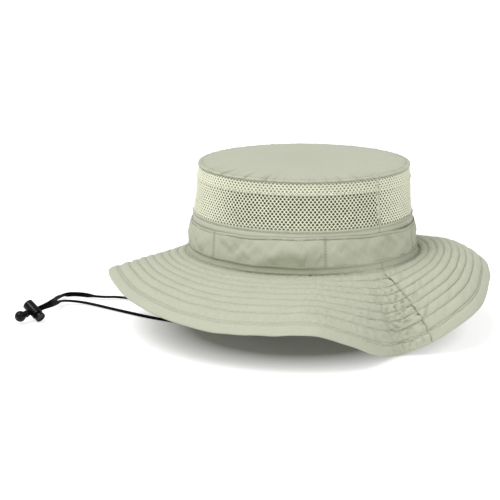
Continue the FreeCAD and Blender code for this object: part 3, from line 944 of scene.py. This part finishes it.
for part, start, end in (("front", 180.0 - MESH_SEAM, 360.0 + MESH_SEAM), ("back", MESH_SEAM, 180.0 - MESH_SEAM)):
    panel = net("mesh_panel_" + part + "_net", start, end, 1.0 if part == "front" else 0.85)
    hem = cloth("mesh_hem", spread(start, end, 1.0), spread(HEM_LEVEL - 0.8, HEM_TOP, 1.4), hem_place, MESH_CLOTH,
                "out", mesh_cloth, body=None)
    strips = [cloth("mesh_edge", spread(low, low + 0.9, 0.3), spread(36.8, HEM_TOP, 1.2), edge_place, MESH_CLOTH, "out",
                    mesh_cloth, body=None, painted_shade=edge_painted_shade) for low in (start, end - 0.9)]
    join(panel, hem, *strips)
    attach(panel, "hat")
    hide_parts("mesh_panel_" + part)

upright = []
for seam in (MESH_SEAM, 180.0 - MESH_SEAM):
    for shift in (-0.6, 0.7):
        line = []
        for level in spread(38.0, 78.5, 1.0):
            line.append((crown_point(seam + shift, level, mesh_out(seam, level) + 0.85), outwards(seam + shift, level)))
        upright.append(line)
hem_line = [(crown_point(a, HEM_LEVEL, mesh_out(a, HEM_LEVEL) + 0.5), outwards(a, HEM_LEVEL)) for a in FULL_TURN]
stitches("mesh_stitching", upright, pitch=2.6, size=0.32)
stitches("hem_stitching", [hem_line], pitch=2.3, size=0.5, length=2.3, finish=hem_thread)

# ---------------------------------------------------------------- hatband
BAND_SHARES = (0.0, 0.02, 0.06, 0.12, 0.2, 0.28, 0.36, 0.44, 0.52, 0.6, 0.68, 0.76, 0.83, 0.885, 0.905, 0.925, 0.95,
               0.98, 1.0)
BAND_SEWN = 0.905              # share of the band's height where it is sewn down along its top


def band_gap(azimuth):
    """How far the top edge stands off where the band is slack."""
    return 2.2 * bell(turn_gap(azimuth, 64.0), 0.0, 9.0) + 1.2 * bell(turn_gap(azimuth, 300.0), 0.0, 12.0) + \
        2.4 * bell(turn_gap(azimuth, 118.0), 0.0, 10.0) + 0.8 * bell(turn_gap(azimuth, 215.0), 0.0, 12.0)


def band_folds(run, slant):
    """Slanting folds and finer wrinkles of the slack band."""
    folds = 1.7 * ripple((run - 1.7 * slant) / 19.0, slant / 26.0, 81.0)
    folds += 0.9 * ripple((run + 1.3 * slant) / 8.0, slant / 20.0, 83.0)
    return folds + 0.5 * ripple((run - 0.6 * slant) / 3.6, slant / 13.0, 87.5)


def band_place(azimuth, row):
    share, turned = row
    run = oval_run(azimuth)
    near = tack_gap(azimuth)
    pinch = bell(near, 0.0, 4.5)
    puff = (1.0 + 0.7 * bell(turn_gap(azimuth, -10.0), 0.0, 50.0)) * (1.0 - 0.7 * pinch)
    puff *= math.sin(math.pi * min(1.0, max(0.0, share * 1.02))) ** 0.8
    slant = share * BAND_HEIGHT
    wrinkle = band_folds(run, slant)
    wrinkle += 0.9 * bell(near, 6.0, 5.0) * ripple((run - slant) / 4.5, slant / 14.0, 85.0)
    wrinkle -= 1.0 * bell(turn_gap(azimuth, -14.0 + 26.0 * share), 0.0, 13.0) * bell(share, 0.25, 0.2)
    wrinkle *= math.sin(math.pi * min(1.0, max(0.0, share))) ** 0.6 * (1.0 - 0.55 * pinch)
    out = 0.9 + puff + wrinkle + band_gap(azimuth) * share ** 1.6
    out -= 0.5 * bell(share, BAND_SEWN, 0.012)
    out += 0.25 * ripple(run / 4.0, share * 3.0, 87.0) * bell(share, 0.95, 0.06)
    slack = bell(turn_gap(azimuth, 8.0), 0.0, 48.0)
    level = BAND_FOOT + BAND_HEIGHT * share + 0.5 * ripple(run / 22.0, 0.0, 89.0)
    level += (2.6 * share - 1.0 * (1.0 - share)) * slack
    if turned == 1:
        out -= 1.1
        level -= 0.5 if share > 0.5 else -0.5
    if turned == 2:
        out = min(out - 1.6, 1.1 + band_gap(azimuth) * share ** 1.6)
        level += -2.5 if share > 0.5 else 2.5
    return crown_point(azimuth, level, max(out, 0.75))


def band_painted_shade(azimuth, row):
    # Painted shade: in the band's fold hollows and one sunken stretch, along its sewn line and at the tacks, and on its
    # turned-under edges; a little everywhere.
    share, turned = row
    run = oval_run(azimuth)
    slant = share * BAND_HEIGHT
    hollow = band_folds(run, slant)
    near = tack_gap(azimuth)
    deep = max(0.0, -hollow - 0.1) * 0.27 * math.sin(math.pi * min(1.0, share)) ** 0.5
    sunk = bell(turn_gap(azimuth, -14.0 + 26.0 * share), 0.0, 15.0) * bell(share, 0.22, 0.22)
    sewn = 0.4 * bell(share, BAND_SEWN, 0.012) + 0.5 * bell(near, 0.0, 0.9)
    return deep + 0.42 * sunk + 0.08 + sewn + (0.45 if turned == 2 else 0.0)


band_rows = [(0.0, 2), (0.0, 1)] + [(s, 0) for s in BAND_SHARES] + [(1.0, 1), (1.0, 2)]
band = cloth("hatband", spread(0.0, 360.0, 0.65)[:-1], band_rows, band_place, 0.6, "out", main_cloth,
             loop=True, painted_shade=band_painted_shade)
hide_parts("hatband")
stitches("band_stitching", [ring_line(share, 0.12, lambda a, s: band_place(a, (s, 0))) for share in (BAND_SEWN, 0.955)],
         pitch=2.6, size=0.24, length=2.0)
for count, tack in enumerate(TACKS):
    bars = []
    way = outwards(tack, 20.0)
    for k in range(20):
        share = 0.03 + 0.94 * k / 19.0
        left = band_place(tack - 0.5, (share, 0)) + way * 0.2
        right = band_place(tack + 0.5, (share + (0.012 if k % 2 else -0.012), 0)) + way * 0.2
        bars.append([(left, way), (right, way)])
    bar = stitches("band_tack_thread_%d" % (count + 1), bars, pitch=5.0, size=0.42, length=1.9)
    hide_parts("band_tack_%d" % (count + 1))

# ---------------------------------------------------------------- tip of the crown
TIP_ROWS = [(s, 0) for s in (0.0, 0.1, 0.2, 0.3, 0.4, 0.5, 0.58, 0.66, 0.73, 0.79, 0.84, 0.88, 0.91, 0.935, 0.955,
                             0.97, 0.982, 0.992, 1.0)]
TIP_SEWN = 0.972               # share of the way out to the row of stitches round the tip
GATHERED = -38.0               # azimuth where the tip's edge is most gathered
TIP_ROWS += [(s, 1) for s in (0.2, 0.45, 0.75, 1.0)] + [(0.0, 2), (1.0, 2)]


def tip_pleats(run):
    return ripple(run / 4.2, 0.0, 91.0) + 0.6 * ripple(run / 9.0, 0.0, 93.0)


def tip_place(azimuth, row):
    share, turn = row
    run = oval_run(azimuth)
    gather = 0.5 + 1.2 * bell(turn_gap(azimuth, GATHERED), 0.0, 15.0) + 0.25 * bell(turn_gap(azimuth, 40.0), 0.0, 16.0)
    pleat = gather * tip_pleats(run)
    rim = crown_point(azimuth, CROWN_HEIGHT, 0.55)
    centre = Vector((0.0, BACK, rim.z))
    if turn == 0:
        flat = centre.lerp(rim, share)
        rise = 3.2 * (1.0 - share ** 2.2)
        slow = 0.9 * ripple(flat.x / 34.0, flat.y / 34.0, 95.0) + 0.3 * ripple(flat.x / 12.0, flat.y / 12.0, 97.0)
        rise += slow * (1.0 - share ** 6)
        rise += pleat * eased(share, ((0.70, 0.0), (0.96, 1.0)))
        rise -= 0.25 * bell(share, TIP_SEWN, 0.008) + 0.9 * share ** 16
        tuck = bell(turn_gap(azimuth, 44.0 - 14.0 * (1.0 - share)), 0.0, 2.2) * bell(share, 0.9, 0.12)
        flat.z += rise + 0.8 * tuck
        return flat
    if turn == 1:
        angle = share * math.pi / 2.0
        out = 0.55 + 0.35 * math.sin(angle)
        drop = 0.9 + 0.8 * (1.0 - math.cos(angle)) + 0.2 * share
        point = crown_point(azimuth, CROWN_HEIGHT - drop, out + 0.35 * pleat * share)
        point.z += pleat * (1.0 - share)
        return point
    low = CROWN_HEIGHT - 2.5 - 0.5 * ripple(run / 6.0, 0.0, 99.0)
    if share < 0.5:
        return crown_point(azimuth, low, 0.75 + 0.5 * pleat)
    return crown_point(azimuth, low + 0.6, 0.35)


def tip_painted_shade(azimuth, row):
    # Painted shade: in the pleats' hollows near the rim, most where it is gathered, along the stitch row and on the
    # turned-under edge.
    share, turn = row
    run = oval_run(azimuth)
    hollow = max(0.0, -tip_pleats(run))
    if turn == 0:
        strong = 0.5 + 1.3 * bell(turn_gap(azimuth, GATHERED), 0.0, 16.0)
        return strong * hollow * eased(share, ((0.76, 0.0), (0.98, 1.0))) + 0.35 * bell(share, TIP_SEWN, 0.006)
    return 0.35 * hollow + (0.5 if turn == 2 and share > 0.5 else 0.0)


tip = cloth("crown_tip", FULL_TURN[:-1], TIP_ROWS, tip_place, 0.6, "up", main_cloth, loop=True,
            painted_shade=tip_painted_shade)
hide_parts("crown_tip")
UP = Vector((0.0, 0.0, 1.0))
stitches("tip_stitching", [[(tip_place(a, (TIP_SEWN, 0)) + UP * 0.12, UP) for a in FULL_TURN]], pitch=2.6, size=0.24)


# ---------------------------------------------------------------- inside of the crown
def ring_cloth(name, low, high, out, thick, finish, ripples):
    def place(azimuth, level):
        return crown_point(azimuth, level, out + ripples * ripple(oval_run(azimuth) / 7.0, level / 6.0, out))

    piece = cloth(name, spread(0.0, 360.0, 1.2)[:-1], spread(low, high, 1.2), place, thick, "in", finish,
                  loop=True)
    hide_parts(name)


ring_cloth("sweatband", 1.4, 33.6, -3.3, 1.1, sweat_cloth, 0.3)
ring_cloth("tip_seam_tape", 72.5, 79.0, -2.4, 0.6, tape_cloth, 0.2)
ring_cloth("mesh_seam_tape", 34.6, 41.6, -2.4, 0.6, tape_cloth, 0.2)
ring_cloth("brim_seam_tape", -1.8, 9.6, -1.9, 0.5, tape_cloth, 0.1)
stitches("sweatband_stitching", [[(crown_point(a, level, -3.42), -outwards(a, level)) for a in FULL_TURN]
                                 for level in (3.4, 32.0)])


def label_place(azimuth, level):
    return crown_point(azimuth, level, -3.75 - 0.12 * ripple(azimuth / 2.0, level / 4.0, 7.0))


def tab_place(way):
    """Tape folded in half over a cord: down on one side of it and up on the other."""
    def place(y, s):
        spare = 0.75 * math.cos(math.pi * min(1.0, max(0.0, (s - 8.0) / 2.0))) + 0.08 * ripple(y, s / 2.0, 5.0)
        return Vector((way * (EXIT_REACH + spare), y + BACK, 67.4 - min(s, TAB_LENGTH - s)))
    return place


TAB_LENGTH = 18.0
SMALL_CLOTH = 0.35
label = cloth("label", spread(81.0, 99.0, 0.8), spread(9.0, 26.4, 0.8), label_place, SMALL_CLOTH, "in", label_cloth)
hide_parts("label")
for side, way, facing in (("near", 1.0, "in"), ("far", -1.0, "out")):
    tab = cloth("cord_tab_" + side, spread(-5.6, 5.6, 0.8), spread(0.0, TAB_LENGTH, 0.9), tab_place(way), SMALL_CLOTH,
                facing, tape_cloth)
    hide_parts("cord_tab_" + side)


# ---------------------------------------------------------------- lock, sleeve and ball
ACROSS_WAY = BARREL_WAY.cross(CORDS_WAY)


def frame_at_lock(*ways):
    return Matrix.Translation(LOCK_AT * MM) @ Matrix(ways).transposed().to_4x4()


LOCK_FRAME = frame_at_lock(CORDS_WAY, ACROSS_WAY, BARREL_WAY)
CORD_FRAME = frame_at_lock(ACROSS_WAY, BARREL_WAY, -CORDS_WAY)
BARREL_FOOT = -9.5
BARREL_TOP = 5.5
BUTTON_TOP = 7.8               # underside of the button's cap
BUTTON_RADIUS = 3.5
CAP_RADIUS = 4.6
SLOT_WIDTH = 3.4
SPRING_FOOT = -8.2
BALL_AT = -15.1
BALL_END = -19.55


def drum(name, radius, low, high):
    bpy.ops.object.select_all(action="DESELECT")
    bpy.ops.mesh.primitive_cylinder_add(vertices=56, radius=radius * MM, depth=(high - low) * MM,
                                        location=(0.0, 0.0, (low + high) / 2.0 * MM))
    made = bpy.context.object
    made.name = name
    made.data.name = name
    bpy.ops.object.transform_apply(location=True, rotation=True, scale=True)
    return made


def choose_faces(piece, wanted):
    """Selects the faces whose middle and direction pass a test, in edit mode."""
    bpy.ops.mesh.select_all(action="DESELECT")
    bpy.ops.mesh.select_mode(type="FACE")
    shaped = bmesh.from_edit_mesh(piece.data)
    for face in shaped.faces:
        face.select_set(wanted(face.calc_center_median() / MM, face.normal))
    bmesh.update_edit_mesh(piece.data)


def push(distance):
    bpy.ops.mesh.extrude_region_move(TRANSFORM_OT_translate={"value": (0.0, 0.0, distance * MM)})


def groove(piece, low, high, deep):
    """Sinks a ring into the side between two heights."""
    for height in (low, high):
        bpy.ops.mesh.select_all(action="SELECT")
        bpy.ops.mesh.bisect(plane_co=(0.0, 0.0, height * MM), plane_no=(0.0, 0.0, 1.0))
    choose_faces(piece, lambda at, way: low < at.z < high and abs(way.z) < 0.5)
    bpy.ops.mesh.extrude_region_shrink_fatten(TRANSFORM_OT_shrink_fatten={"value": -deep * MM})


def bore(piece, top, wall, deep):
    """Sinks a hole from the flat end at a height."""
    choose_faces(piece, lambda at, way: abs(at.z - top) < 0.01 and abs(way.z) > 0.9)
    bpy.ops.mesh.inset(thickness=wall * MM)
    push(deep)


def cut_with(piece, cutter):
    apply(piece, "BOOLEAN", operation="DIFFERENCE", object=cutter)
    bpy.data.objects.remove(cutter)


def soften(piece, width):
    apply(piece, "BEVEL", width=width * MM, segments=3, limit_method="ANGLE", angle_limit=math.radians(40.0))
    bpy.ops.object.shade_smooth_by_angle(angle=math.radians(35.0))


def seat(piece, frame_matrix, body, finish, slot, *nodes):
    pick(piece)
    piece.matrix_world = frame_matrix
    bpy.ops.object.transform_apply(location=True, rotation=True, scale=True)
    piece.data.materials.clear()
    piece.data.materials.append(finish)
    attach(piece, body)
    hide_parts(*nodes)
    return piece


def slot_cutter(low, high):
    bpy.ops.object.select_all(action="DESELECT")
    bpy.ops.mesh.primitive_cube_add(size=1.0, location=(0.0, 0.0, (low + high) / 2.0 * MM))
    cutter = bpy.context.object
    cutter.scale = (24.0 * MM, SLOT_WIDTH * MM, (high - low) * MM)
    bpy.ops.object.transform_apply(location=True, rotation=True, scale=True)
    bpy.ops.object.mode_set(mode="EDIT")
    bpy.ops.mesh.select_mode(type="EDGE")
    bpy.ops.mesh.select_all(action="DESELECT")
    shaped = bmesh.from_edit_mesh(cutter.data)
    for edge in shaped.edges:
        edge.select_set(abs((edge.verts[0].co - edge.verts[1].co).x) > 0.01)
    bmesh.update_edit_mesh(cutter.data)
    bpy.ops.mesh.bevel(offset=1.2 * MM, segments=5)
    bpy.ops.object.mode_set(mode="OBJECT")
    return cutter


barrel = drum("barrel_moulding", 5.0, BARREL_FOOT, BARREL_TOP)
bpy.ops.object.mode_set(mode="EDIT")
groove(barrel, 3.3, 4.1, 0.4)
bore(barrel, BARREL_TOP, 1.3, -14.0)
choose_faces(barrel, lambda at, way: abs(at.z - BARREL_FOOT) < 0.01 and way.z < -0.9)
bpy.ops.mesh.inset(thickness=1.6 * MM)
push(0.4)
bpy.ops.object.mode_set(mode="OBJECT")
cut_with(barrel, slot_cutter(-3.2, 3.2))
soften(barrel, 0.55)
seat(barrel, LOCK_FRAME, "lock", lock_plastic, "lock_plastic", "lock_barrel")

button = drum("button_moulding", BUTTON_RADIUS, -4.25, BUTTON_TOP)
bpy.ops.object.mode_set(mode="EDIT")
choose_faces(button, lambda at, way: abs(at.z - BUTTON_TOP) < 0.01 and way.z > 0.9)
bpy.ops.mesh.extrude_region_move()
bpy.ops.transform.resize(value=(CAP_RADIUS / BUTTON_RADIUS, CAP_RADIUS / BUTTON_RADIUS, 1.0))
push(2.4)
bpy.ops.mesh.inset(thickness=1.3 * MM)
push(-0.35)
bpy.ops.object.mode_set(mode="OBJECT")
cut_with(button, slot_cutter(-3.2, 5.2))
soften(button, 0.45)
seat(button, LOCK_FRAME, "button", lock_plastic, "lock_plastic", "lock_button")

bpy.ops.object.select_all(action="DESELECT")
bpy.ops.mesh.primitive_circle_add(vertices=10, radius=0.25 * MM, fill_type="NOTHING",
                                  location=(2.9 * MM, 0.0, SPRING_FOOT * MM), rotation=(math.pi / 2.0, 0.0, 0.0))
spring = bpy.context.object
spring.name = "spring_coil"
bpy.ops.object.transform_apply(location=True, rotation=True, scale=True)
bpy.ops.object.origin_set(type="ORIGIN_CURSOR")
apply(spring, "SCREW", axis="Z", angle=math.radians(360.0 * 3.0), screw_offset=3.6 * MM, steps=96, render_steps=96)
bpy.ops.object.mode_set(mode="EDIT")
bpy.ops.mesh.select_all(action="DESELECT")
bpy.ops.mesh.select_mode(type="EDGE")
bpy.ops.mesh.select_non_manifold()
bpy.ops.mesh.edge_face_add()
bpy.ops.mesh.select_all(action="SELECT")
bpy.ops.mesh.normals_make_consistent(inside=False)
bpy.ops.object.mode_set(mode="OBJECT")
bpy.ops.object.shade_smooth_by_angle(angle=math.radians(40.0))
seat(spring, LOCK_FRAME, "lock", spring_finish, "spring_steel", "lock_spring")
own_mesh(spring)

sleeve = drum("sleeve_moulding", 3.2, -11.6, -8.0)
bpy.ops.object.mode_set(mode="EDIT")
groove(sleeve, -10.6, -9.2, 0.35)
bpy.ops.object.mode_set(mode="OBJECT")
soften(sleeve, 0.4)
seat(sleeve, CORD_FRAME, "hat", ball_plastic, "lock_plastic", "cord_sleeve")

bpy.ops.object.select_all(action="DESELECT")
bpy.ops.mesh.primitive_uv_sphere_add(segments=48, ring_count=32, radius=4.9 * MM, location=(0.0, 0.0, BALL_AT * MM))
ball = bpy.context.object
ball.name = "ball_moulding"
bpy.ops.object.transform_apply(location=True, rotation=True, scale=True)
bpy.ops.object.mode_set(mode="EDIT")
choose_faces(ball, lambda at, way: at.z < BALL_END - 0.05)
bpy.ops.transform.resize(value=(1.0, 1.0, 0.0), center_override=(0.0, 0.0, BALL_END * MM))
bpy.ops.mesh.select_mode(type="EDGE")
bpy.ops.mesh.select_all(action="DESELECT")
shaped = bmesh.from_edit_mesh(ball.data)
for edge in shaped.edges:
    edge.select_set(all(abs(v.co.z / MM - BALL_AT) < 0.02 for v in edge.verts))
bmesh.update_edit_mesh(ball.data)
bpy.ops.mesh.bevel(offset=0.12 * MM, segments=2)
bpy.ops.object.mode_set(mode="OBJECT")
bpy.ops.object.shade_smooth_by_angle(angle=math.radians(35.0))
seat(ball, CORD_FRAME, "hat", ball_plastic, "lock_plastic", "cord_ball")

# ---------------------------------------------------------------- each cord's middle line turned into a list of points, which is not kept
for cord, line, total, side in ((near_cord, near_line, near_total, 1.0), (far_cord, far_line, far_total, -1.0)):
    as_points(line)
